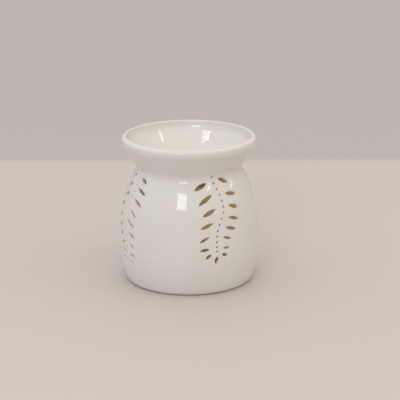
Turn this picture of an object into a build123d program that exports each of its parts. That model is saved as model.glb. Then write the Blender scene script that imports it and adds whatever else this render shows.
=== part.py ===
"""Essential oil burner: a glazed ceramic barrel with a pierced leaf pattern, an oil dish that closes its
top, and a tea light that slides in and out through the doorway in the back.

Millimetres, +Z up, the origin at the centre of the foot. The front sprig faces -Y and the doorway +Y.
"""

import os
from math import asin, atan2, cos, degrees, exp, hypot, pi, radians, sin, tan

from build123d import *

os.makedirs("parts", exist_ok=True)

# Driving dimensions of the burner
overall_height = 105.0
dish_rise = 20.0
belly_radius = 50.6
belly_height = 29.0
rim_inset = 2.6
cut_overrun = 4.0
neck_height = overall_height - dish_rise
rim_radius = belly_radius - rim_inset

# Outside profile of the barrel, from the foot up, with its turns in degrees
foot_round = 4.0
skirt_curve = 85.0
belly_curve = 152.0
belly_turn = 8.0
shoulder_turn = 23.0
neck_round = 5.2

# Barrel shell
wall = 3.0
floor_thickness = 5.0
floor_round = 4.0
foot_ring_width = 7.6
recess_depth = 1.2

# Doorway in the back, wide enough for the tea light, with its sill flush with the floor
door_clearance = 3.8
door_height = 44.0

# Oil dish
dish_wall = 3.2
lip_thickness = 3.6
lip_round_share = 0.49
lip_height = 4.1
lip_curve = 8.2
bowl_lip_curve = 6.0
lip_bend_limit_share = 0.98
bowl_depth = 33.0
bowl_round = 24.0
bowl_round_limit_share = 0.95
seat_gap = 0.3

# Tea light
tealight_gap = 0.2
cup_radius = 19.2
cup_height = 16.0
cup_wall = 0.4
cup_corner = 1.5
cup_bead = 0.6
wax_drop = 2.6
wick_radius = 0.9
wick_rise = 8.0
tab_radius = 6.5
tab_thickness = 0.4
tab_neck_radius = 1.4
tab_neck_height = 3.0

# Pierced sprigs, laid out on the unrolled wall
sprig_low = 22.0
sprig_top_gap = 2.0
leaf_length = 13.4
leaf_width = 2.5
leaf_gap = 5.0
stem_dot_radius = 0.75
stem_dots = 14
stem_dot_crowding = 1.09
stem_sway = 7.2
stem_rest_share = 0.37

# Each leaf is the height of its inner tip, its gap from the stem, its droop in degrees, its length and
# its width; all but the droop are shares of the sizes above, and a negative gap is on the left
front_leaf_shares = [
    (0.948, -1.14, 31, 0.75, 1.29),
    (0.819, -1.15, 35, 0.93, 1.19),
    (0.660, -1.26, 25, 0.80, 1.25),
    (0.512, -1.09, 21, 0.72, 1.13),
    (0.373, -1.13, 29, 0.60, 0.91),
    (0.236, -1.09, 6, 0.51, 0.98),
    (0.176, -0.80, 32, 0.38, 1.08),
    (0.980, 0.96, 28, 0.63, 1.27),
    (0.810, 0.95, 10, 0.72, 1.12),
    (0.681, 0.88, 18, 0.68, 1.15),
    (0.557, 1.03, 17, 0.71, 1.00),
    (0.456, 1.14, 19, 0.69, 1.02),
    (0.357, 0.96, 20, 0.53, 0.81),
    (0.240, 0.99, 10, 0.38, 0.77),
    (0.173, 0.75, 23, 0.35, 0.97),
    (0.153, 0.01, 98, 0.42, 1.15),
]
side_leaf_shares = [
    (0.936, 0.41, 22, 0.56, 1.00),
    (0.820, 0.55, 19, 0.75, 1.05),
    (0.695, 0.82, 23, 0.72, 1.05),
    (0.579, 1.16, 34, 0.69, 1.05),
    (0.465, 0.95, 25, 0.88, 1.10),
    (0.325, 1.14, 24, 0.54, 1.00),
    (0.203, 0.86, 24, 0.48, 0.90),
    (0.094, 0.80, 13, 0.47, 0.88),
    (0.018, 0.81, 22, 0.30, 0.78),
    (0.949, -1.41, 26, 0.52, 1.07),
    (0.846, -1.34, 24, 0.64, 1.12),
    (0.737, -1.21, 24, 0.72, 1.15),
    (0.611, -1.33, 22, 0.74, 1.15),
    (0.493, -0.75, 22, 0.74, 1.15),
    (0.386, -0.76, 24, 0.66, 1.12),
    (0.298, -0.86, 26, 0.58, 1.05),
    (0.207, -0.55, 24, 0.46, 0.95),
    (0.121, -0.35, 22, 0.40, 0.88),
    (0.042, -0.51, 30, 0.30, 0.80),
    (0.039, 0.10, 78, 0.32, 0.88),
]

# Each stem is the height where it bows most, how far that bow spreads below and above it, and where its
# dots begin, all as shares of the sprig's height
front_stem_shares = (0.66, 0.17, 0.30, 0.206)
side_stem_shares = (0.47, 0.15, 0.17, 0.100)

# Each sprig is its bearing from the front in degrees, the way its stem bows, the stem and the leaves
sprigs = [
    (0, 1, front_stem_shares, front_leaf_shares),
    (-90, -1, side_stem_shares, side_leaf_shares),
    (90, 1, front_stem_shares, front_leaf_shares),
]


# The shoulder's curve is the one that climbs from the belly's end to the hollow of the neck in its turn
shoulder_lean = radians(belly_turn + shoulder_turn)
neck_half = neck_round * sin(shoulder_lean)
shoulder_rise = neck_height - 2 * neck_half - belly_height - belly_curve * sin(radians(belly_turn))
shoulder_curve = shoulder_rise / (sin(shoulder_lean) - sin(radians(belly_turn)))


def barrel_side(inset, level, corner):
    """One face of the barrel's wall, from a flat level up to the neck, set in from the outside."""
    swing = skirt_curve - inset - corner
    spread = asin((belly_height - level - corner) / swing)
    flat_edge = belly_radius - skirt_curve + swing * cos(spread)
    foot = JernArc((flat_edge, level), (1, 0), corner, 90 - degrees(spread))
    skirt = JernArc(foot @ 1, foot % 1, skirt_curve - inset, degrees(spread))
    belly = JernArc(skirt @ 1, skirt % 1, belly_curve - inset, belly_turn)
    shoulder = JernArc(belly @ 1, belly % 1, shoulder_curve - inset, shoulder_turn)
    neck_turn = degrees(shoulder_lean + asin(neck_half / (neck_round + inset)))
    neck = JernArc(shoulder @ 1, shoulder % 1, neck_round + inset, -neck_turn)
    return foot, skirt, belly, shoulder, neck


# The outside of the wall again by itself, as the line that the sprigs are laid out along
with BuildLine():
    side_edges = barrel_side(0, 0, foot_round)
wall_side = Wire(side_edges)
neck_edge = side_edges[-1] @ 1
sprig_rise = wall_side.length - sprig_top_gap - sprig_low


def wall_plane(bearing, around, climb, tilt=0):
    """The plane that touches the wall, at a distance around from a bearing and a distance up the side."""
    place = wall_side.position_at(climb, PositionMode.LENGTH)
    slope = wall_side.tangent_at(climb, PositionMode.LENGTH)
    turn = radians(bearing) + around / place.X
    outward = Vector(sin(turn), -cos(turn), 0)
    sideways = Vector(cos(turn), sin(turn), 0)
    centre = outward * place.X + Vector(0, 0, place.Y)
    normal = outward * slope.Y - Vector(0, 0, slope.X)
    return Plane(centre, x_dir=sideways.rotate(Axis((0, 0, 0), normal), tilt), z_dir=normal)


def stem_at(share, bow, stem_shares):
    """How far round the wall the stem lies from the sprig's bearing, at a share of its height."""
    bow_share, below_share, above_share, _ = stem_shares
    spread_share = below_share if share < bow_share else above_share
    return bow * stem_sway * (exp(-(((share - bow_share) / spread_share) ** 2)) - stem_rest_share)


def leaf_places(bearing, bow, stem_shares, leaf_shares):
    """The plane, length and width of each leaf of a sprig, hung from the stem by its inner tip."""
    places = []
    for tip_share, gap_share, droop, length_share, width_share in leaf_shares:
        side = 1 if gap_share > 0 else -1
        length = length_share * leaf_length
        tip = stem_at(tip_share, bow, stem_shares) + gap_share * leaf_gap
        around = tip + side * length / 2 * cos(radians(droop))
        climb = sprig_low + tip_share * sprig_rise - length / 2 * sin(radians(droop))
        plane = wall_plane(bearing, around, climb, -side * droop)
        places.append((plane, length, width_share * leaf_width))
    return places


def dot_planes(bearing, bow, stem_shares):
    """The plane of each dot along a sprig's stem, a little closer together towards its foot."""
    low_share = stem_shares[-1]
    planes = []
    for dot in range(stem_dots):
        share = low_share + (1 - low_share) * (dot / (stem_dots - 1)) ** stem_dot_crowding
        around = stem_at(share, bow, stem_shares)
        planes.append(wall_plane(bearing, around, sprig_low + share * sprig_rise))
    return planes


# Barrel: a shell of even wall with a floor, a foot ring, a doorway and three pierced sprigs, turned from
# a section between two sprigs so that its seam runs through none of their holes
section_side = Plane((0, 0, 0), x_dir=(1, 1, 0), z_dir=(1, -1, 0))
with BuildPart() as burner_body:
    with BuildSketch(section_side):
        with BuildLine():
            outer = barrel_side(0, 0, foot_round)
            inner = barrel_side(wall, floor_thickness, floor_round)
            Line(outer[-1] @ 1, inner[-1] @ 1)
            recess_radius = (outer[0] @ 0).X - foot_ring_width
            Polyline(
                outer[0] @ 0,
                (recess_radius, 0),
                (recess_radius, recess_depth),
                (0, recess_depth),
                (0, floor_thickness),
                inner[0] @ 0,
            )
        make_face()
    revolve(axis=Axis.Z)
    with BuildSketch(Plane.XZ):
        door_radius = cup_radius + door_clearance
        post_height = door_height - door_radius
        with Locations((0, floor_thickness)):
            Rectangle(2 * door_radius, post_height, align=(Align.CENTER, Align.MIN))
        with Locations((0, floor_thickness + post_height)):
            Circle(door_radius)
    extrude(amount=-(belly_radius + cut_overrun), mode=Mode.SUBTRACT)
    for bearing, bow, stem_shares, leaf_shares in sprigs:
        for plane, length, width in leaf_places(bearing, bow, stem_shares, leaf_shares):
            with BuildSketch(plane):
                with BuildLine():
                    ThreePointArc((-length / 2, 0), (0, width / 2), (length / 2, 0))
                    ThreePointArc((-length / 2, 0), (0, -width / 2), (length / 2, 0))
                make_face()
        with BuildSketch(*dot_planes(bearing, bow, stem_shares)):
            Circle(stem_dot_radius)
    extrude(amount=wall + cut_overrun, both=True, mode=Mode.SUBTRACT)
burner_body.part.label = "burner_body"
export_step(burner_body.part, "parts/burner_body.step")

# Oil dish: a flared rim over a round bowl that hangs inside the neck, luted to the barrel's top edge
seat_inner = (inner[-1] @ 1).X - seat_gap
lip_inner = rim_radius - lip_thickness
lip_low = overall_height - lip_height
bowl_run = lip_inner - seat_inner
bowl_drop = lip_low - neck_height
bowl_lean = atan2(bowl_run, bowl_drop) + asin(dish_wall / hypot(bowl_run, bowl_drop))
bowl_floor = overall_height - bowl_depth

# The lip's two bends ease the dish's leaning sides into the upright lip, and its height limits them
lip_round = lip_thickness * lip_round_share
flare_lean = atan2(rim_radius - neck_edge.X, bowl_drop)
bend_room = lip_bend_limit_share * (lip_height - lip_round)
lip_bend = min(lip_curve, bend_room / tan(flare_lean / 2))
bowl_lip_bend = min(bowl_lip_curve, bend_room / tan(bowl_lean / 2))


def down_the_bowl(level, thickness):
    """Where the bowl's straight side meets a level, at a thickness in from its underside."""
    return seat_inner - thickness / cos(bowl_lean) - (neck_height - level) * tan(bowl_lean), level


# The bowl's two rounds share one centre, and where the bowl is shallow or narrow its wall limits them
bowl_bottom = bowl_floor - dish_wall
bottom_reach = down_the_bowl(bowl_bottom, 0)[0]
bottom_side = (neck_height - bowl_bottom) / cos(bowl_lean)
bottom_fit = min(bottom_reach, bottom_side) / tan(pi / 4 - bowl_lean / 2)
bottom_round = min(bowl_round + dish_wall, bowl_round_limit_share * bottom_fit)

with BuildPart() as oil_dish:
    with BuildSketch(Plane.XZ):
        with BuildLine():
            FilletPolyline(
                (0, bowl_bottom),
                down_the_bowl(bowl_bottom, 0),
                (seat_inner, neck_height),
                (neck_edge.X, neck_height),
                (rim_radius, lip_low),
                (rim_radius, overall_height),
                (lip_inner, overall_height),
                (lip_inner, lip_low),
                down_the_bowl(bowl_floor, dish_wall),
                (0, bowl_floor),
                radius=[
                    0,
                    bottom_round,
                    0,
                    0,
                    lip_bend,
                    lip_round,
                    lip_round,
                    bowl_lip_bend,
                    bottom_round - dish_wall,
                    0,
                ],
                close=True,
            )
        make_face()
    revolve(axis=Axis.Z)
oil_dish.part.label = "oil_dish"
export_step(oil_dish.part, "parts/oil_dish.step")

# Tea light, centred on the floor under the bowl and upright on its own base
cup_base = floor_thickness + tealight_gap
cup_inner = cup_radius - cup_wall
bead_level = cup_height - cup_bead
wax_level = cup_height - wax_drop
tab_top = cup_wall + tab_thickness
neck_top = tab_top + tab_neck_height
wick_top = wax_level + wick_rise
tealight_side = Plane((0, 0, cup_base), x_dir=(1, 0, 0), z_dir=(0, -1, 0))

# Cup: thin pressed foil with a rounded base corner and a rim rolled outwards
with BuildPart() as tealight_cup:
    with BuildSketch(tealight_side):
        with BuildLine():
            FilletPolyline(
                (0, 0),
                (cup_radius, 0),
                (cup_radius, bead_level),
                (cup_inner, bead_level),
                (cup_inner, cup_wall),
                (0, cup_wall),
                radius=[0, cup_corner, 0, 0, cup_corner - cup_wall, 0],
                close=True,
            )
        make_face()
        with Locations((cup_inner + cup_bead, bead_level)):
            Circle(cup_bead)
    revolve(axis=Axis.Z)
tealight_cup.part.label = "tealight_cup"
export_step(tealight_cup.part, "parts/tealight_cup.step")

# Wax: cast in the cup round the wick and its tab
with BuildPart() as tealight_wax:
    with BuildSketch(tealight_side):
        with BuildLine():
            FilletPolyline(
                (tab_radius, cup_wall),
                (cup_inner, cup_wall),
                (cup_inner, wax_level),
                (wick_radius, wax_level),
                (wick_radius, neck_top),
                (tab_neck_radius, neck_top),
                (tab_neck_radius, tab_top),
                (tab_radius, tab_top),
                radius=[0, cup_corner - cup_wall, 0, 0, 0, 0, 0, 0],
                close=True,
            )
        make_face()
    revolve(axis=Axis.Z)
tealight_wax.part.label = "tealight_wax"
export_step(tealight_wax.part, "parts/tealight_wax.step")

# Wick tab: a steel disc with a neck that grips the wick
with BuildPart() as wick_tab:
    with BuildSketch(tealight_side):
        with BuildLine():
            Polyline(
                (0, cup_wall),
                (tab_radius, cup_wall),
                (tab_radius, tab_top),
                (tab_neck_radius, tab_top),
                (tab_neck_radius, neck_top),
                (wick_radius, neck_top),
                (wick_radius, tab_top),
                (0, tab_top),
                close=True,
            )
        make_face()
    revolve(axis=Axis.Z)
wick_tab.part.label = "wick_tab"
export_step(wick_tab.part, "parts/wick_tab.step")

# Wick: a round cord from the tab up through the wax, with a blunt end
with BuildPart() as wick:
    with BuildSketch(tealight_side):
        with BuildLine():
            Polyline(
                (0, tab_top),
                (wick_radius, tab_top),
                (wick_radius, wick_top - wick_radius / 2),
                (wick_radius / 2, wick_top),
                (0, wick_top),
                close=True,
            )
        make_face()
    revolve(axis=Axis.Z)
wick.part.label = "wick"
export_step(wick.part, "parts/wick.step")
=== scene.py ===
"""Looks of an essential oil burner: a glazed barrel pierced with leaf sprigs, its oil dish and a tea light.

The shapes are drawn in millimetres in the CAD model's frame: +Z up, the front sprig towards -Y and the
doorway towards +Y. A bearing is counted from the front, -Y, towards +X.
"""

from math import asin, atan2, cos, degrees, exp, hypot, pi, radians, sin, tan, tau

import bpy
import numpy as np
from mathutils import Matrix, Vector
from mathutils.geometry import delaunay_2d_cdt


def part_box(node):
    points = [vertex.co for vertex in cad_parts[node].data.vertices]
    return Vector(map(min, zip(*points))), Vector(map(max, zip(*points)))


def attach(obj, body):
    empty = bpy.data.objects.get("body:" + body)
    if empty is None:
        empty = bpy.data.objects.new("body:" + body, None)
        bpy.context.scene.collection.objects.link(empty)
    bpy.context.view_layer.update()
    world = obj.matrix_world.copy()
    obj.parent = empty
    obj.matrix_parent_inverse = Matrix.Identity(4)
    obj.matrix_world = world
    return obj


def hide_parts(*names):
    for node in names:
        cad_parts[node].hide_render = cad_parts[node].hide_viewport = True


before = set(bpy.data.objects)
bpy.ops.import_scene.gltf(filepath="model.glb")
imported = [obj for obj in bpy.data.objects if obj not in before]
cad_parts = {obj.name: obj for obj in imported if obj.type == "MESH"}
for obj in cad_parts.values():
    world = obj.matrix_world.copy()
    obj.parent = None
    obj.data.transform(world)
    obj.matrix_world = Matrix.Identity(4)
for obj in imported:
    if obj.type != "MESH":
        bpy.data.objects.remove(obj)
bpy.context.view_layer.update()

MM = 0.001


def in_mm(node):
    """The lowest and highest corners of a CAD node, in millimetres."""
    low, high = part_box(node)
    return low / MM, high / MM


# Sizes that the frame gives
cup_low, cup_high = in_mm("tealight_cup")
wax_low, wax_high = in_mm("tealight_wax")
wick_low, wick_high = in_mm("wick")

# Profile of the barrel, as in the CAD model
overall_height = 105.0
neck_height = 85.0
belly_radius = 50.6
rim_radius = 48.0
belly_height = 29.0
foot_round = 4.0
skirt_curve = 85.0
belly_curve = 152.0
belly_turn = radians(8.0)
shoulder_turn = radians(23.0)
neck_round = 5.2
wall = 3.0
floor_level = 5.0
floor_round = 4.0
recess_radius = 35.0
recess_depth = 1.2

# Doorway
door_radius = 23.0
door_height = 44.0
door_round = 0.9
door_inner_round = 0.6
door_inner_rise = 3.0

# Profile of the dish, as in the CAD model but for the glaze, which softens the rim and swells the bowl
dish_wall = 3.2
lip_thickness = 3.6
lip_height = 4.1
lip_curve = 8.2
rim_outer_round = 2.65
rim_inner_round = 0.9
rim_drop = 0.8
bowl_lip_curve = 9.6
bowl_lip_drop = 0.4
bowl_floor = 72.0
bowl_round = 24.0
bowl_swell = 1.1
bowl_swell_curve = 150.0
seat_gap = 0.3

# Pierced sprigs, laid out on the unrolled wall
sprig_low = 22.0
sprig_top_gap = 2.0
leaf_length = 13.4
leaf_width = 2.5
leaf_gap = 5.0
leaf_sharpness = 1.6
leaf_bluntness = -0.4
stem_dot_radius = 0.75
stem_dots = 14
stem_dot_crowding = 1.09
stem_sway = 7.2
stem_rest_share = 0.37
glaze_round = 0.45
inner_round = 0.4

# Each leaf is the height of its inner tip, its gap from the stem, its droop in degrees, its length and
# its width; all but the droop are shares of the sizes above, and a negative gap is on the left
front_leaf_shares = [
    (0.948, -1.14, 31, 0.75, 1.29),
    (0.819, -1.15, 35, 0.93, 1.19),
    (0.660, -1.26, 25, 0.80, 1.25),
    (0.512, -1.09, 21, 0.72, 1.13),
    (0.373, -1.13, 29, 0.60, 0.91),
    (0.236, -1.09, 6, 0.51, 0.98),
    (0.176, -0.80, 32, 0.38, 1.08),
    (0.980, 0.96, 28, 0.63, 1.27),
    (0.810, 0.95, 10, 0.72, 1.12),
    (0.681, 0.88, 18, 0.68, 1.15),
    (0.557, 1.03, 17, 0.71, 1.00),
    (0.456, 1.14, 19, 0.69, 1.02),
    (0.357, 0.96, 20, 0.53, 0.81),
    (0.240, 0.99, 10, 0.38, 0.77),
    (0.173, 0.75, 23, 0.35, 0.97),
    (0.153, 0.01, 98, 0.42, 1.15),
]
side_leaf_shares = [
    (0.936, 0.41, 22, 0.56, 1.00),
    (0.820, 0.55, 19, 0.75, 1.05),
    (0.695, 0.82, 23, 0.72, 1.05),
    (0.579, 1.16, 34, 0.69, 1.05),
    (0.465, 0.95, 25, 0.88, 1.10),
    (0.325, 1.14, 24, 0.54, 1.00),
    (0.203, 0.86, 24, 0.48, 0.90),
    (0.094, 0.80, 13, 0.47, 0.88),
    (0.018, 0.81, 22, 0.30, 0.78),
    (0.949, -1.41, 26, 0.52, 1.07),
    (0.846, -1.34, 24, 0.64, 1.12),
    (0.737, -1.21, 24, 0.72, 1.15),
    (0.611, -1.33, 22, 0.74, 1.15),
    (0.493, -0.75, 22, 0.74, 1.15),
    (0.386, -0.76, 24, 0.66, 1.12),
    (0.298, -0.86, 26, 0.58, 1.05),
    (0.207, -0.55, 24, 0.46, 0.95),
    (0.121, -0.35, 22, 0.40, 0.88),
    (0.042, -0.51, 30, 0.30, 0.80),
    (0.039, 0.10, 78, 0.32, 0.88),
]
front_stem_shares = (0.66, 0.17, 0.30, 0.206)
side_stem_shares = (0.47, 0.15, 0.17, 0.100)
sprigs = [
    (0, 1, front_stem_shares, front_leaf_shares),
    (-90, -1, side_stem_shares, side_leaf_shares),
    (90, 1, front_stem_shares, front_leaf_shares),
]

# Mesh fineness
grid_step = 1.3
columns = 240
edge_steps = 5
leaf_points = 44
dot_points = 16
arch_points = 96
arch_step = 0.9
arc_step = 0.25
dish_step = 1.2
tealight_step = 1.0
floor_step = 3.0
recess_step = 4.0
halvings = 48
tiny = 1e-6
weld = 1e-7
sharp_turn = radians(50)

# How far along its normal a hole can meet the outside of the wall, and then its inside
hole_reach = ((-3.0, 3.0), (-9.0, -0.5))
door_reach = ((20.0, 60.0), (20.0, 60.0))


# Materials


def material(name, colour, roughness, **inputs):
    """A material with one Principled shader; the rest of its inputs are given by name."""
    made = bpy.data.materials.new(name)
    made.use_nodes = True
    shader = made.node_tree.nodes["Principled BSDF"]
    shader.inputs["Base Color"].default_value = (*colour, 1.0)
    shader.inputs["Roughness"].default_value = roughness
    for key, value in inputs.items():
        shader.inputs[key.replace("_", " ")].default_value = value
    return made


def node(made, kind, **values):
    """A new node in a material; a value's name is that of an input, or else of a property."""
    new = made.node_tree.nodes.new(kind)
    for key, value in values.items():
        label = key.replace("_", " ")
        if label in new.inputs:
            new.inputs[label].default_value = value
        else:
            setattr(new, key, value)
    return new


def tinted(made, low, high, scale, detail=3.0):
    """Lets the base colour drift between two colours over a noise of the given scale per metre."""
    shader = made.node_tree.nodes["Principled BSDF"]
    place = node(made, "ShaderNodeTexCoord")
    noise = node(made, "ShaderNodeTexNoise", Scale=scale, Detail=detail)
    ramp = node(made, "ShaderNodeValToRGB")
    ramp.color_ramp.elements[0].position = 0.3
    ramp.color_ramp.elements[0].color = (*low, 1.0)
    ramp.color_ramp.elements[1].position = 0.7
    ramp.color_ramp.elements[1].color = (*high, 1.0)
    made.node_tree.links.new(place.outputs["Object"], noise.inputs["Vector"])
    made.node_tree.links.new(noise.outputs["Fac"], ramp.inputs["Fac"])
    made.node_tree.links.new(ramp.outputs["Color"], shader.inputs["Base Color"])


def bumped(made, scale, height, detail=2.0):
    """Adds a noise bump of the given scale per metre and height in metres."""
    shader = made.node_tree.nodes["Principled BSDF"]
    place = node(made, "ShaderNodeTexCoord")
    noise = node(made, "ShaderNodeTexNoise", Scale=scale, Detail=detail)
    bump = node(made, "ShaderNodeBump", Distance=height)
    links = made.node_tree.links
    links.new(place.outputs["Object"], noise.inputs["Vector"])
    links.new(noise.outputs["Fac"], bump.inputs["Height"])
    earlier = shader.inputs["Normal"].links
    if earlier:
        links.new(earlier[0].from_socket, bump.inputs["Normal"])
    links.new(bump.outputs["Normal"], shader.inputs["Normal"])


glaze = material("warm_white_glaze", (0.73, 0.715, 0.695), 0.05, IOR=1.52)
tinted(glaze, (0.722, 0.703, 0.680), (0.738, 0.727, 0.710), 38)
bumped(glaze, 55, 0.00003)

# Inside of the chamber: a warm tan far brighter than the bare clay of the foot, which paints in the glow of
# light bouncing inside and coming through the thin wall; its subsurface scattering also lets some real light
# come into the chamber through the thin wall
chamber = material("chamber_clay_and_painted_glow", (0.93, 0.765, 0.56), 0.55, Subsurface_Weight=1.0, Subsurface_Scale=0.006,
                   Subsurface_Radius=(1.0, 1.0, 1.0))
tinted(chamber, (0.92, 0.745, 0.535), (0.94, 0.785, 0.585), 120)
bumped(chamber, 900, 0.00005)

# Flanks inside the holes: a tan for glaze thinning over the clay, but lighter than the glaze itself, which
# paints light into these shaded flanks
thin_glaze_with_painted_light = material("thin_glaze_with_painted_light", (0.90, 0.84, 0.74), 0.3, IOR=1.5)
tinted(thin_glaze_with_painted_light, (0.89, 0.83, 0.72), (0.91, 0.85, 0.76), 120)

bisque = material("bare_foot", (0.66, 0.58, 0.49), 0.85)
tinted(bisque, (0.62, 0.54, 0.45), (0.70, 0.62, 0.53), 400)
bumped(bisque, 2500, 0.0001)

foil = material("pressed_foil", (0.80, 0.81, 0.82), 0.28, Metallic=1.0)
tinted(foil, (0.76, 0.77, 0.78), (0.84, 0.85, 0.86), 300)
bumped(foil, 700, 0.00004)

wax = material("paraffin_wax", (0.90, 0.88, 0.83), 0.35, Subsurface_Weight=0.3, Subsurface_Scale=0.002)
tinted(wax, (0.88, 0.86, 0.80), (0.92, 0.90, 0.86), 150)
bumped(wax, 220, 0.00006)

cotton = material("wick_cotton", (0.86, 0.83, 0.76), 0.9)
tinted(cotton, (0.80, 0.76, 0.68), (0.90, 0.88, 0.82), 2500)
bumped(cotton, 4000, 0.00008)

steel = material("tab_steel", (0.55, 0.55, 0.56), 0.35, Metallic=1.0)
tinted(steel, (0.50, 0.50, 0.51), (0.60, 0.60, 0.61), 600)


# Mesh helpers


def piece(name, points, faces, materials, slots, body, stands_for):
    """A mesh piece in millimetres that rides on a body, takes a material slot and stands for a CAD node."""
    mesh = bpy.data.meshes.new(name)
    mesh.from_pydata([Vector(p) * MM for p in points], [], faces)
    for used in materials:
        mesh.materials.append(used)
    mesh.polygons.foreach_set("material_index", slots)
    mesh.polygons.foreach_set("use_smooth", [True] * len(mesh.polygons))
    mesh.validate()
    mesh.update()
    made = bpy.data.objects.new(name, mesh)
    bpy.context.scene.collection.objects.link(made)
    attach(made, body)
    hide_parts(stands_for)
    return made


def sharpen(made):
    """Keeps every edge that turns by more than the sharp turn sharp in the shading."""
    made.data.set_sharp_from_angle(angle=sharp_turn)


def arc(centre, radius, start, end):
    """Points of radius and height along an arc; its angles are above the horizontal."""
    count = max(2, int(abs(end - start) * radius / arc_step) + 1)
    turns = np.linspace(start, end, count)
    return np.column_stack([centre[0] + radius * np.cos(turns), centre[1] + radius * np.sin(turns)])


def lathe(outline, count):
    """Points and faces of an outline of radius and height turned round the axis; an end on the axis
    closes."""
    turns = np.arange(count) / count * tau
    points, rings = [], []
    for radius, level in outline:
        if radius < tiny:
            rings.append([len(points)] * count)
            points.append((0.0, 0.0, level))
        else:
            rings.append(list(range(len(points), len(points) + count)))
            points.extend((radius * sin(t), -radius * cos(t), level) for t in turns)
    faces = []
    for low, high in zip(rings, rings[1:]):
        for j in range(count):
            k = (j + 1) % count
            corners = [low[j], low[k], high[k], high[j]]
            faces.append(tuple(dict.fromkeys(corners)))
    return points, faces


def filleted(corners, radii):
    """A line through corners, each rounded by its radius, as points of radius and height."""
    corners = [np.array(c, float) for c in corners]
    out = [corners[0]]
    for before, corner, after, radius in zip(corners, corners[1:], corners[2:], radii[1:]):
        if radius == 0:
            out.append(corner)
            continue
        back = (before - corner) / np.linalg.norm(before - corner)
        ahead = (after - corner) / np.linalg.norm(after - corner)
        half = np.arccos(np.clip(back @ ahead, -1, 1)) / 2
        middle = (back + ahead) / np.linalg.norm(back + ahead)
        centre = corner + middle * radius / sin(half)
        first = corner + back * radius / tan(half) - centre
        last = corner + ahead * radius / tan(half) - centre
        turn = atan2(first[0] * last[1] - first[1] * last[0], first @ last)
        steps = max(3, int(abs(turn) * radius / arc_step) + 1)
        for t in np.linspace(0, turn, steps):
            out.append(centre + np.array([first[0] * cos(t) - first[1] * sin(t),
                                          first[0] * sin(t) + first[1] * cos(t)]))
    out.append(corners[-1])
    return out


def divided(outline, step):
    """The same line with points added along its long stretches."""
    out = [outline[0]]
    for a, b in zip(outline, outline[1:]):
        count = max(1, int(np.linalg.norm(np.subtract(b, a)) / step))
        out.extend(np.add(a, np.subtract(b, a) * k / count) for k in range(1, count + 1))
    return out


# Barrel


class Side:
    """One face of the barrel's wall, from a flat level up to the neck, set in from the outside."""

    def __init__(self, inset, level, corner):
        swing = skirt_curve - inset - corner
        spread = asin((belly_height - level - corner) / swing)
        skirt_centre = (belly_radius - skirt_curve, belly_height)
        foot_centre = (skirt_centre[0] + swing * cos(spread), level + corner)
        belly_centre = (belly_radius - belly_curve, belly_height)
        lean = belly_turn + shoulder_turn
        neck_half = neck_round * sin(lean)
        rise = neck_height - 2 * neck_half - belly_height - belly_curve * sin(belly_turn)
        shoulder_curve = rise / (sin(lean) - sin(belly_turn))
        slack = belly_curve - shoulder_curve
        shoulder_centre = (belly_centre[0] + slack * cos(belly_turn), belly_height + slack * sin(belly_turn))
        shoulder_end = shoulder_centre[0] + shoulder_curve * cos(lean)
        neck_centre = (shoulder_end + neck_round * cos(lean), neck_height - neck_half)
        neck_curve = neck_round + inset
        line = np.vstack([
            arc(foot_centre, corner, -pi / 2, -spread),
            arc(skirt_centre, skirt_curve - inset, -spread, 0)[1:],
            arc(belly_centre, belly_curve - inset, 0, belly_turn)[1:],
            arc(shoulder_centre, shoulder_curve - inset, belly_turn, lean)[1:],
            arc(neck_centre, neck_curve, pi + lean, pi - asin(neck_half / neck_curve))[1:],
        ])
        self.radii, self.levels = line[:, 0], line[:, 1]
        self.climbs = np.concatenate([[0], np.cumsum(np.hypot(*np.diff(line, axis=0).T))])
        self.length = self.climbs[-1]

    def at(self, climb):
        """Radius and height at a distance up the side."""
        return np.interp(climb, self.climbs, self.radii), np.interp(climb, self.climbs, self.levels)

    def climb_of(self, level):
        """Distance up the side at a height."""
        return np.interp(level, self.levels, self.climbs)

    def radius_of(self, level):
        """Radius at a height."""
        return np.interp(level, self.levels, self.radii)

    def points(self, bearings, climbs):
        """Points at bearings round the axis and distances up the side."""
        radii, levels = self.at(climbs)
        return np.column_stack([radii * np.sin(bearings), -radii * np.cos(bearings), levels])


outside = Side(0, 0, foot_round)
inside = Side(wall, floor_level, floor_round)
sprig_rise = outside.length - sprig_top_gap - sprig_low


class Hole:
    """A hole through the wall along a normal: its outline is drawn in a plane, with sideways, upward
    and normal directions, and each edge is rounded by the glaze."""

    def __init__(self, centre, sideways, normal, outline, edge_round, inner_edge_round, reach):
        self.centre, self.sideways, self.normal = centre, sideways, normal
        self.upward = np.cross(normal, sideways)
        self.outline = outline
        ahead = np.roll(outline, -1, axis=0) - np.roll(outline, 1, axis=0)
        out = np.column_stack([ahead[:, 1], -ahead[:, 0]])
        self.out = out / np.linalg.norm(out, axis=1)[:, None]
        self.edge_round, self.inner_edge_round, self.reach = edge_round, inner_edge_round, reach

    def on(self, side, grown, bracket):
        """Where the outline, grown by a width at each point, meets a side of the wall."""
        flat = self.outline + self.out * np.reshape(grown, (-1, 1))
        start = self.centre + flat[:, :1] * self.sideways + flat[:, 1:] * self.upward
        low, high = (np.full(len(flat), b, float) for b in bracket)
        for _ in range(halvings):
            middle = (low + high) / 2
            at = start + middle[:, None] * self.normal
            within = np.hypot(at[:, 0], at[:, 1]) < side.radius_of(at[:, 2])
            low, high = np.where(within, middle, low), np.where(within, high, middle)
        return start + low[:, None] * self.normal

    def rings(self):
        """Rings of points from the outside of the wall through to the inside."""
        turns = np.linspace(0, pi / 2, edge_steps)
        outer_bracket, inner_bracket = self.reach
        made = []
        for t in turns:
            ring = self.on(outside, self.edge_round * (1 - sin(t)), outer_bracket)
            made.append(ring - self.normal * self.edge_round * (1 - cos(t)))
        for t in turns[::-1]:
            ring = self.on(inside, self.inner_edge_round * (1 - sin(t)), inner_bracket)
            made.append(ring + self.normal * np.reshape(self.inner_edge_round * (1 - cos(t)), (-1, 1)))
        return made


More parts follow.
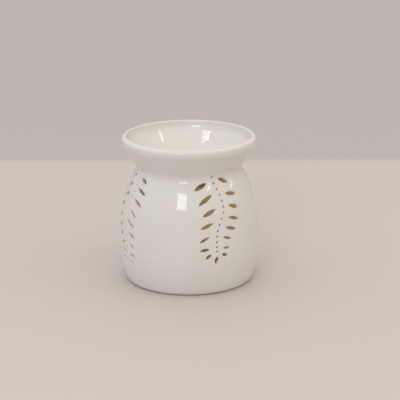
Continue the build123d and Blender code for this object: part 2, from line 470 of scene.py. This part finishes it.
def wall_frame(bearing, around, climb, tilt=0):
    """Centre, sideways direction and normal on the outside, at a distance around and up the side."""
    nearby = 0.01
    radius, level = outside.at(climb)
    turn = radians(bearing) + around / radius
    nearby_radius, nearby_level = outside.at(climb + nearby)
    slope = np.array([nearby_radius - radius, nearby_level - level]) / nearby
    outward = np.array([sin(turn), -cos(turn), 0])
    sideways = np.array([cos(turn), sin(turn), 0])
    normal = outward * slope[1] - np.array([0, 0, slope[0]])
    normal /= np.linalg.norm(normal)
    upward = np.cross(normal, sideways)
    centre = outward * radius + np.array([0, 0, level])
    return centre, sideways * cos(tilt) + upward * sin(tilt), normal


def stem_at(share, bow, stem_shares):
    """How far round the wall the stem lies from the sprig's bearing, at a share of its height."""
    bow_share, below_share, above_share, _ = stem_shares
    spread_share = below_share if share < bow_share else above_share
    return bow * stem_sway * (exp(-(((share - bow_share) / spread_share) ** 2)) - stem_rest_share)


def leaf_outline(length, width, side):
    """A pointed oval, drawn anticlockwise, sharp at its inner tip and blunter at the outer one."""
    turns = np.arange(leaf_points) / leaf_points * tau
    sharpness = leaf_sharpness + side * leaf_bluntness * np.cos(turns)
    half = np.abs(np.sin(turns)) ** sharpness * np.sign(np.sin(turns))
    return np.column_stack([length / 2 * np.cos(turns), width / 2 * half])


def circle_outline(radius, count):
    """Points round a circle, drawn anticlockwise."""
    turns = np.arange(count) / count * tau
    return np.column_stack([radius * np.cos(turns), radius * np.sin(turns)])


def sprig_holes(bearing, bow, stem_shares, leaf_shares):
    """The leaves of one sprig, hung from its stem, and the dots along the stem."""
    holes = []
    for tip_share, gap_share, droop, length_share, width_share in leaf_shares:
        side = 1 if gap_share > 0 else -1
        length = length_share * leaf_length
        tip = stem_at(tip_share, bow, stem_shares) + gap_share * leaf_gap
        around = tip + side * length / 2 * cos(radians(droop))
        climb = sprig_low + tip_share * sprig_rise - length / 2 * sin(radians(droop))
        outline = leaf_outline(length, width_share * leaf_width, side)
        holes.append(Hole(*wall_frame(bearing, around, climb, radians(-side * droop)), outline,
                          glaze_round, inner_round, hole_reach))
    low_share = stem_shares[-1]
    for dot in range(stem_dots):
        share = low_share + (1 - low_share) * (dot / (stem_dots - 1)) ** stem_dot_crowding
        around = stem_at(share, bow, stem_shares)
        outline = circle_outline(stem_dot_radius, dot_points)
        holes.append(Hole(*wall_frame(bearing, around, sprig_low + share * sprig_rise), outline,
                          glaze_round, inner_round, hole_reach))
    return holes


def doorway():
    """The arch in the back, whose sill is flush with the floor and keeps its inner edge."""
    post_top = door_height - door_radius
    corner = np.array([[-door_radius, 0.0], [door_radius, 0.0], [door_radius, post_top]])
    top = np.array([0, post_top]) + circle_outline(door_radius, arch_points)[: arch_points // 2 + 1]
    line = divided([*corner, *top[1:-1], [-door_radius, post_top], corner[0]], arch_step)[:-1]
    outline = np.array(line)
    inner = door_inner_round * np.clip(outline[:, 1] / door_inner_rise, 0, 1)
    # seen from behind, the sideways direction that keeps the outline anticlockwise is -X
    return Hole(np.array([0, 0, floor_level]), np.array([-1.0, 0, 0]), np.array([0, 1.0, 0]), outline,
                door_round, inner, door_reach)


holes = [hole for sprig in sprigs for hole in sprig_holes(*sprig)]
door = doorway()


class Builder:
    """Collects the points and faces of one mesh, with a material for each face."""

    def __init__(self):
        self.points, self.faces, self.slots = [], [], []

    def add(self, points):
        """Adds points and returns their numbers."""
        start = len(self.points)
        self.points.extend(map(tuple, points))
        return list(range(start, len(self.points)))

    def strip(self, low, high, slot, closed=True):
        """Faces between two rows of as many points."""
        pairs = list(zip(low, high))
        for (a, b), (d, c) in zip(pairs, pairs[1:] + pairs[:1] if closed else pairs[1:]):
            self.faces.append((a, d, c, b))
            self.slots.append(slot)


# The bearing of the barrel's seam, which runs between two sprigs
seam = radians(-135)


def unrolled(side, points):
    """Where points of the wall lie on its unrolled face."""
    bearings = np.arctan2(points[:, 0], -points[:, 1])
    bearings = (bearings - seam) % tau
    return np.column_stack([bearings * belly_radius, side.climb_of(points[:, 2])])


def inside_polygon(points, polygon):
    """Which points lie in a polygon."""
    x, y = points[:, :1], points[:, 1:]
    ax, ay = polygon[:, 0], polygon[:, 1]
    bx, by = np.roll(ax, -1), np.roll(ay, -1)
    crosses = (ay > y) != (by > y)
    rise = np.where(by == ay, 1, by - ay)
    return (crosses & (x < (bx - ax) * (y - ay) / rise + ax)).sum(axis=1) % 2 == 1


def wall_face(builder, side, rings, slot, outward):
    """Fills one side of the wall round the rings of its holes, and returns its bottom and top rows."""
    edge_gap, hole_gap, sill_gap = 0.3 * grid_step, 0.55 * grid_step, 0.4
    width, height = tau * belly_radius, side.length
    flats = [unrolled(side, np.array([builder.points[i] for i in ring])) for ring in rings]
    rows = int(height / grid_step)
    grid = []
    for row in range(1, rows):
        shift = 0.5 * (row % 2)
        count = columns - 1 if row % 2 == 0 else columns
        first = 1 if row % 2 == 0 else 0
        grid.extend(((first + shift + j) * width / columns, row * height / rows) for j in range(count))
    grid = np.array([g for g in grid if edge_gap < g[0] < width - edge_gap])
    clear = np.ones(len(grid), bool)
    for flat in flats:
        low, high = flat.min(0) - grid_step, flat.max(0) + grid_step
        near = np.where(((grid > low) & (grid < high)).all(axis=1) & clear)[0]
        if len(near):
            gaps = np.linalg.norm(grid[near][:, None] - flat[None], axis=2).min(axis=1)
            clear[near] = (gaps > hole_gap) & ~inside_polygon(grid[near], flat)
    grid = grid[clear]

    # the bottom row leaves out what the doorway takes, and its sill takes that place
    sill = sorted((flat[k, 0], ring[k]) for flat, ring in zip(flats, rings)
                  for k in range(len(ring)) if flat[k, 1] < tiny)
    marks = [j * width / columns for j in range(columns + 1)]
    bottom = [(x, None) for x in marks
              if not sill or not sill[0][0] - sill_gap < x < sill[-1][0] + sill_gap]
    bottom = sorted(bottom + sill, key=lambda m: m[0])
    heights = [row * height / rows for row in range(1, rows)]

    flat_points, ids = [], []

    def put(xy, index=None):
        """Adds a flat point, with a new point of the mesh unless it has one."""
        flat_points.append(Vector((float(xy[0]), float(xy[1]))))
        if index is None:
            bearing = xy[0] / belly_radius + seam
            index = builder.add(side.points(np.array([bearing]), np.array([xy[1]])))[0]
        ids.append(index)
        return len(flat_points) - 1

    bottom_row = [put((x, 0), index) for x, index in bottom[:-1]]
    left = [put((0, y)) for y in heights]
    top_row = [put((x, height)) for x in marks[:-1]]
    right = [put((width, 0), ids[bottom_row[0]])]
    right += [put((width, y), ids[i]) for y, i in zip(heights, left)]
    right.append(put((width, height), ids[top_row[0]]))
    chain = bottom_row + right + top_row[::-1] + left[::-1]
    edges = list(zip(chain, chain[1:] + chain[:1]))
    sill_ids = {index for _, index in sill}
    for flat, ring in zip(flats, rings):
        loop = [bottom_row[[ids[b] for b in bottom_row].index(i)] if i in sill_ids else put(xy, i)
                for xy, i in zip(flat, ring)]
        edges += [(a, b) for a, b in zip(loop, loop[1:] + loop[:1])
                  if not (a in bottom_row and b in bottom_row)]
    for xy in grid:
        put(xy)

    made_points, _, triangles, origins, _, _ = delaunay_2d_cdt(flat_points, edges, [], 0, weld)
    source = [o[0] for o in origins]
    flat_array = np.array([tuple(p) for p in made_points])
    triangles = np.array(triangles)
    middles = flat_array[triangles].mean(axis=1)
    kept = np.ones(len(triangles), bool)
    for flat in flats:
        low, high = flat.min(0), flat.max(0)
        near = np.where(((middles > low) & (middles < high)).all(axis=1))[0]
        kept[near] &= ~inside_polygon(middles[near], flat)
    for a, b, c in triangles[kept]:
        face = (ids[source[a]], ids[source[b]], ids[source[c]])
        builder.faces.append(face if outward else face[::-1])
        builder.slots.append(slot)
    return [ids[i] for i in bottom_row], [ids[i] for i in top_row]


def disc_fill(builder, rim, slot, upward, step):
    """Fills a round flat face inside a ring of points."""
    edge_gap = 0.6 * step
    ring = np.array([builder.points[i][:2] for i in rim])
    level = builder.points[rim[0]][2]
    reach = np.hypot(*ring.T).max()
    marks = np.arange(-reach, reach, step)
    grid = np.array([(x, y) for x in marks for y in marks if hypot(x, y) < reach - edge_gap])
    ids = list(rim) + builder.add([(x, y, level) for x, y in grid])
    flat = [Vector((float(x), float(y))) for x, y in np.vstack([ring, grid])]
    loop = list(range(len(rim)))
    edges = list(zip(loop, loop[1:] + loop[:1]))
    _, _, triangles, origins, _, _ = delaunay_2d_cdt(flat, edges, [], 1, weld)
    for triangle in triangles:
        face = tuple(ids[origins[k][0]] for k in triangle)
        builder.faces.append(face if upward else face[::-1])
        builder.slots.append(slot)


GLAZE, CHAMBER, BISQUE, THIN_PAINTED_LIGHT = range(4)
body = Builder()
outer_rings, inner_rings = [], []
for hole in [*holes, door]:
    rings = [body.add(ring) for ring in hole.rings()]
    # The flanks through the wall and their inner edges take the thin glaze, painted lighter than the glaze
    # to fill their shade
    for step, (low, high) in enumerate(zip(rings, rings[1:])):
        body.strip(low, high, GLAZE if step < edge_steps - 1 else THIN_PAINTED_LIGHT)
    outer_rings.append(rings[0])
    inner_rings.append(rings[-1])
outer_foot, outer_neck = wall_face(body, outside, outer_rings, GLAZE, True)
# The inner wall and floor take the chamber material, whose bright warm tan is a painted glow
inner_floor, inner_neck = wall_face(body, inside, inner_rings, CHAMBER, False)
disc_fill(body, inner_floor, CHAMBER, True, floor_step)
body.strip(outer_neck, inner_neck, GLAZE)
column_bearings = seam + np.arange(columns) / columns * tau


def level_ring(radius, level):
    """A ring of points on the barrel's columns, at one height."""
    return body.add(np.column_stack([radius * np.sin(column_bearings), -radius * np.cos(column_bearings),
                                     np.full(columns, level)]))


recess_edge = level_ring(recess_radius, 0.0)
recess_corner = level_ring(recess_radius, recess_depth)
body.strip(recess_edge, outer_foot, BISQUE)
body.strip(recess_corner, recess_edge, BISQUE)
disc_fill(body, recess_corner, BISQUE, False, recess_step)

barrel = piece("glazed_barrel", body.points, body.faces, [glaze, chamber, bisque, thin_glaze_with_painted_light], body.slots,
               "burner", "burner_body")
sharpen(barrel)

# Dish
seat_inner = inside.radii[-1] - seat_gap
lip_inner = rim_radius - lip_thickness
lip_low = overall_height - lip_height
run, drop = lip_inner - seat_inner, lip_low - neck_height
bowl_lean = atan2(run, drop) + asin(dish_wall / hypot(run, drop))


def down_the_bowl(level, thickness):
    """Radius and height on the bowl's straight side, at a thickness in from its outer face."""
    return seat_inner - thickness / cos(bowl_lean) - (neck_height - level) * tan(bowl_lean), level


bowl_edge = np.array([lip_inner, lip_low - bowl_lip_drop])
bowl_corner = np.array(down_the_bowl(bowl_floor, dish_wall))
bowl_middle = (bowl_edge + bowl_corner) / 2 + bowl_swell * np.array([cos(bowl_lean), -sin(bowl_lean)])
dish_outline = filleted(
    [
        (0, bowl_floor - dish_wall),
        down_the_bowl(bowl_floor - dish_wall, 0),
        (seat_inner, neck_height),
        (outside.radii[-1], neck_height),
        (rim_radius, lip_low - rim_drop),
        (rim_radius, overall_height),
        (lip_inner, overall_height),
        bowl_edge,
        bowl_middle,
        bowl_corner,
        (0, bowl_floor),
    ],
    [0, bowl_round + dish_wall, 0, 0, lip_curve, rim_outer_round, rim_inner_round, bowl_lip_curve,
     bowl_swell_curve, bowl_round, 0],
)
points, faces = lathe(divided(dish_outline, dish_step), columns)
dish = piece("glazed_dish", points, faces, [glaze], [0] * len(faces), "burner", "oil_dish")
sharpen(dish)

# Tea light
cup_base = cup_low.z
cup_radius = 19.2
cup_corner = 1.5
cup_inner_corner = 1.2
cup_columns = 360
foil_thickness = 0.25
foil_radius = cup_radius - foil_thickness
bead_radius = 0.6
bead_level = cup_high.z - bead_radius
bead_rows = 17
flutes = 60
flute_depth = 0.12
flute_fade = 0.6
cup_outline = filleted(
    [(0, cup_base), (cup_radius, cup_base), (cup_radius, bead_level), (foil_radius, bead_level),
     (foil_radius, cup_base + foil_thickness), (0, cup_base + foil_thickness)],
    [0, cup_corner, 0, 0, cup_inner_corner, 0],
)
bead_centre = (foil_radius + bead_radius, bead_level)
bead_outline = [(bead_centre[0] + bead_radius * cos(t), bead_centre[1] + bead_radius * sin(t))
                for t in np.linspace(pi, -pi, bead_rows)]
points, faces = lathe(divided(cup_outline, tealight_step), cup_columns)


def fluted(point):
    """A point of the cup with its side pressed into shallow flutes between the base and the bead."""
    x, y, z = point
    rise = (z - cup_base) / (bead_level - cup_base)
    if hypot(x, y) < cup_radius - 2 * foil_thickness or not 0 < rise < 1:
        return point
    depth = flute_depth * sin(pi * rise) ** flute_fade * (1 + cos(flutes * atan2(x, -y))) / 2
    scale = 1 - depth / hypot(x, y)
    return x * scale, y * scale, z


points = [fluted(p) for p in points]
bead_points, bead_faces = lathe(bead_outline, cup_columns)
faces += [tuple(i + len(points) for i in face) for face in bead_faces]
points += bead_points
cup = piece("foil_cup", points, faces, [foil], [0] * len(faces), "tealight", "tealight_cup")
sharpen(cup)

wax_level = wax_high.z
wax_gap = 0.05
wax_radius = foil_radius - wax_gap
wax_corner = 1.2
wax_rows = 40
wax_columns = 180
wick_radius = 0.9
wick_collar = 0.2
wick_collar_width = 0.4
socket_radius = 6.5
socket_height = 4.0
dip = 0.5
dip_width = 5.0
dip_start = 0.8
meniscus = 0.6
meniscus_width = 0.7


def wax_height(radius):
    """Height of the wax's top: it dips round the wick and climbs at the cup."""
    out = radius - wick_radius
    sunk = dip * exp(-((out / dip_width) ** 2)) * (1 - exp(-out / dip_start))
    return wax_level - sunk + meniscus * exp((radius - wax_radius) / meniscus_width)


wax_top = [(wick_radius, wax_level + wick_collar)]
wax_top += [(r, wax_height(r)) for r in np.linspace(wick_radius + wick_collar_width, wax_radius, wax_rows)]
wax_outline = [(wick_radius, wax_low.z + socket_height), *wax_top, (wax_radius, wax_low.z + wax_corner),
               (wax_radius - wax_corner, wax_low.z), (socket_radius, wax_low.z)]
points, faces = lathe(divided(wax_outline, tealight_step), wax_columns)
wax_piece = piece("wax_fill", points, [f[::-1] for f in faces], [wax], [0] * len(faces),
                  "tealight", "tealight_wax")
sharpen(wax_piece)

strands = 3
strand_share = 0.18
twist = 0.55
wick_lean = 0.012
wick_end_share = 0.04
wick_tip_share = 0.02
wick_points, wick_faces = [], []
wick_rows, wick_columns = 90, 36
wick_base = wick_low.z
wick_top = wick_high.z
for row in range(wick_rows + 1):
    share = row / wick_rows
    level = wick_base + share * (wick_top - wick_base)
    above = max(0.0, level - wax_level)
    bend = wick_lean * above**2
    cap = cos(asin(min(1.0, max(0.0, (share - 1 + wick_end_share) / wick_end_share))))
    for column in range(wick_columns):
        turn = column / wick_columns * tau
        swell = 1 - strand_share + strand_share * abs(cos(strands * (turn - twist * level) / 2))
        radius = wick_radius * swell * max(cap, wick_tip_share)
        wick_points.append((radius * cos(turn) + bend, radius * sin(turn), level))
for row in range(wick_rows):
    for column in range(wick_columns):
        a, b = row * wick_columns + column, row * wick_columns + (column + 1) % wick_columns
        wick_faces.append((a, b, b + wick_columns, a + wick_columns))
wick_faces.append(tuple(range(wick_columns))[::-1])
wick_faces.append(tuple(range(wick_rows * wick_columns, (wick_rows + 1) * wick_columns)))
piece("twisted_wick", wick_points, wick_faces, [cotton], [0] * len(wick_faces),
      "tealight", "wick")

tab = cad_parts["wick_tab"]
tab.data.materials.clear()
tab.data.materials.append(steel)

# Camera: the photograph's view
sensor_width = 36.0
lens = 130.5
camera_turn = radians(-26.0)
camera_place = (7.763, -999.158, 352.562)
camera_pitch = radians(16.50)
camera_roll = radians(0.154)
clip_near = 0.01
clip_far = 100
camera_data = bpy.data.cameras.new("photo_camera")
camera_data.sensor_width = sensor_width
camera_data.lens = lens
camera_data.clip_start = clip_near
camera_data.clip_end = clip_far
camera = bpy.data.objects.new("photo_camera", camera_data)
bpy.context.scene.collection.objects.link(camera)
bpy.context.scene.camera = camera
turned = Matrix.Rotation(camera_turn, 4, "Z")
camera.matrix_world = (
    turned
    @ Matrix.Translation(Vector(camera_place) * MM)
    @ Matrix.Rotation(pi / 2 - camera_pitch, 4, "X")
    @ Matrix.Rotation(-camera_roll, 4, "Z")
)

# Lights, placed by their bearing and height from the camera's side
target = Vector((0, 0, 0.06))
distance = 1.3
warm_white = (1.0, 0.97, 0.92)
plain_white = (1.0, 0.98, 0.95)


def lamp(name, bearing, rise, size, radiance, colour, roll=0.0):
    """A rectangular lamp that faces the burner and isn't seen by the camera; size is in degrees of view."""
    data = bpy.data.lights.new(name, "AREA")
    data.shape = "RECTANGLE"
    data.size = 2 * distance * tan(radians(size[0] / 2))
    data.size_y = 2 * distance * tan(radians(size[1] / 2))
    data.energy = radiance * pi * data.size * data.size_y
    data.color = colour
    made = bpy.data.objects.new(name, data)
    bpy.context.scene.collection.objects.link(made)
    a, e = radians(bearing) + camera_turn, radians(rise)
    away = Vector((sin(a) * cos(e), -cos(a) * cos(e), sin(e)))
    turn = away.to_track_quat("Z", "Y").to_matrix().to_4x4()
    place = Matrix.Translation(target + away * distance)
    made.matrix_world = place @ turn @ Matrix.Rotation(radians(roll), 4, "Z")
    made.visible_camera = False


lamp("window", -13.1, 26.3, (16, 17), 5.6, (0.93, 0.96, 1.0))
lamp("side_window", 96.1, 22.5, (9.3, 2.0), 5.0, warm_white, 8)
lamp("high_window", 74, 45, (15, 2.5), 7.0, warm_white, 63)
lamp("far_window", 43.4, 36.7, (9.5, 2.6), 5.0, plain_white, 17)
lamp("ceiling_bar_1", -48.3, 58.6, (12.1, 0.6), 7.0, plain_white, 19)
lamp("ceiling_bar_2", -51.7, 59.0, (12.5, 0.6), 7.0, plain_white, 31)

# Room light: soft, cooler on the left and warmer on the right, and brighter from above
room_low = 0.60
room_high = 1.12
world = bpy.data.worlds.new("soft_room")
bpy.context.scene.world = world
world.use_nodes = True
nodes, links = world.node_tree.nodes, world.node_tree.links
background = nodes["Background"]
place = nodes.new("ShaderNodeTexCoord")
parts = nodes.new("ShaderNodeSeparateXYZ")
to_right = nodes.new("ShaderNodeVectorMath")
to_right.operation = "DOT_PRODUCT"
to_right.inputs[1].default_value = turned @ Vector((1, 0, 0))
warmth = nodes.new("ShaderNodeMapRange")
warmth.inputs["From Min"].default_value = -1.0
tint = nodes.new("ShaderNodeMix")
tint.data_type = "RGBA"
tint.inputs["A"].default_value = (0.93, 0.985, 1.08, 1.0)
tint.inputs["B"].default_value = (0.90, 0.78, 0.61, 1.0)
overhead = nodes.new("ShaderNodeMix")
overhead.data_type = "RGBA"
overhead.inputs["B"].default_value = (1.04, 0.975, 0.89, 1.0)
height = nodes.new("ShaderNodeMapRange")
height.inputs["To Min"].default_value = room_low
height.inputs["To Max"].default_value = room_high
links.new(place.outputs["Generated"], to_right.inputs[0])
links.new(place.outputs["Generated"], parts.inputs[0])
links.new(to_right.outputs["Value"], warmth.inputs["Value"])
links.new(warmth.outputs["Result"], tint.inputs["Factor"])
links.new(tint.outputs["Result"], overhead.inputs["A"])
links.new(parts.outputs["Z"], overhead.inputs["Factor"])
links.new(overhead.outputs["Result"], background.inputs["Color"])
links.new(parts.outputs["Z"], height.inputs["Value"])
links.new(height.outputs["Result"], background.inputs["Strength"])
# The camera itself sees a plain pale backdrop
backdrop = nodes.new("ShaderNodeBackground")
backdrop.inputs["Color"].default_value = (0.515, 0.473, 0.440, 1.0)
seen = nodes.new("ShaderNodeLightPath")
mixed = nodes.new("ShaderNodeMixShader")
links.new(seen.outputs["Is Camera Ray"], mixed.inputs["Fac"])
links.new(background.outputs["Background"], mixed.inputs[1])
links.new(backdrop.outputs["Background"], mixed.inputs[2])
links.new(mixed.outputs["Shader"], nodes["World Output"].inputs["Surface"])

# Floor: pale, with a second pale tone behind a line across the view and far out all round
floor_reach = 3.0
floor_corners = 96
near_depth = 0.317
near_depth_fade = 0.012
near_radius = 0.55
near_radius_fade = 0.25
floor_turns = np.arange(floor_corners) / floor_corners * tau
floor_mesh = bpy.data.meshes.new("floor")
floor_mesh.from_pydata([(floor_reach * sin(t), floor_reach * cos(t), 0) for t in floor_turns],
                       [], [tuple(range(floor_corners))[::-1]])
floor = bpy.data.objects.new("floor", floor_mesh)
bpy.context.scene.collection.objects.link(floor)
floor_paint = material("pale_floor", (0.62, 0.56, 0.50), 0.6)
floor_mesh.materials.append(floor_paint)
paint_nodes, paint_links = floor_paint.node_tree.nodes, floor_paint.node_tree.links
spot = node(floor_paint, "ShaderNodeTexCoord")
depth = node(floor_paint, "ShaderNodeVectorMath", operation="DOT_PRODUCT")
depth.inputs[1].default_value = turned @ Vector((0, 1, 0))
behind = node(floor_paint, "ShaderNodeMapRange", From_Min=near_depth, From_Max=near_depth + near_depth_fade)
radius_out = node(floor_paint, "ShaderNodeVectorMath", operation="LENGTH")
far = node(floor_paint, "ShaderNodeMapRange", From_Min=near_radius, From_Max=near_radius + near_radius_fade)
either = node(floor_paint, "ShaderNodeMath", operation="MAXIMUM")
floor_tone = node(floor_paint, "ShaderNodeMix", data_type="RGBA")
floor_tone.inputs["A"].default_value = (0.60, 0.555, 0.53, 1.0)
floor_tone.inputs["B"].default_value = (0.49, 0.465, 0.455, 1.0)
paint_links.new(spot.outputs["Object"], depth.inputs[0])
paint_links.new(spot.outputs["Object"], radius_out.inputs[0])
paint_links.new(depth.outputs["Value"], behind.inputs["Value"])
paint_links.new(radius_out.outputs["Value"], far.inputs["Value"])
paint_links.new(behind.outputs["Result"], either.inputs[0])
paint_links.new(far.outputs["Result"], either.inputs[1])
paint_links.new(either.outputs["Value"], floor_tone.inputs["Factor"])
paint_links.new(floor_tone.outputs["Result"], paint_nodes["Principled BSDF"].inputs["Base Color"])

bpy.context.scene.view_settings.view_transform = "Standard"
